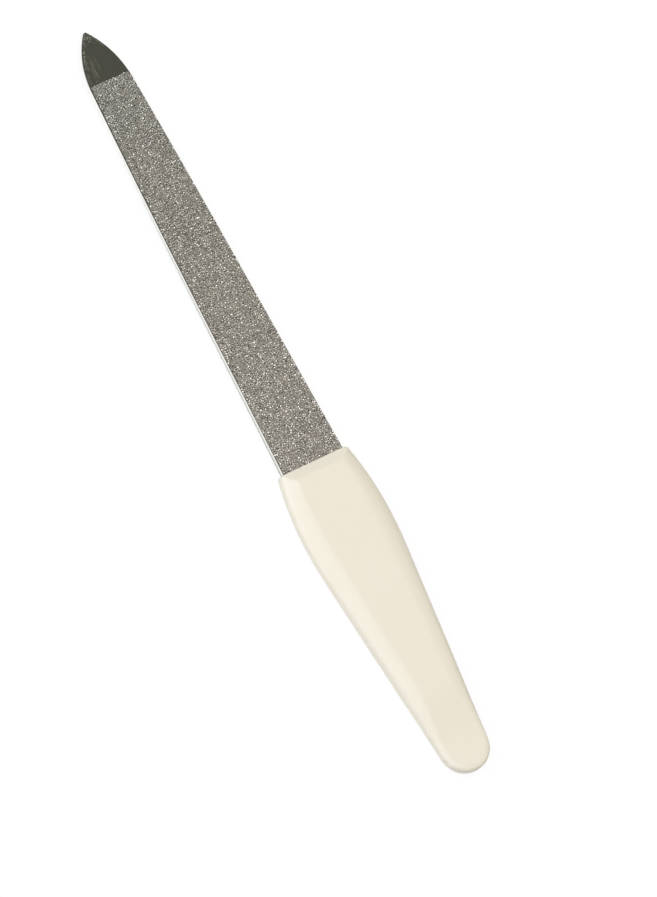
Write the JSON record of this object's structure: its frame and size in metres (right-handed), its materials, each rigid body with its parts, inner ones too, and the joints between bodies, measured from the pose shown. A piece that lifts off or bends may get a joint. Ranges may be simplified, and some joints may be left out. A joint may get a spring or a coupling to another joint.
{
  "type": "diamond nail file",
  "caption": "Flat steel nail file with a bare pointed tip, diamond grit on both faces and a slim faceted handle moulded round its tang.",
  "frame": {"origin": "middle of the file's length and width, on the surface that it lies on, under the handle's flat back", "axes": "+Y along the file towards its pointed tip, +Z out of its front face, +X to the right seen from the front with the tip up"},
  "size_m": [0.0184, 0.1524, 0.0038],
  "materials": {
    "bare_steel": "dark bare steel with fine lengthwise scratches",
    "diamond_grit": "sparkling diamond grit in a grey nickel bond",
    "ivory_plastic": "glossy moulded ivory"
  },
  "bodies": {
    "root": {"blade": "bare_steel", "grit_front": "diamond_grit", "grit_back": "diamond_grit", "handle": "ivory_plastic"}
  },
  "joints": []
}
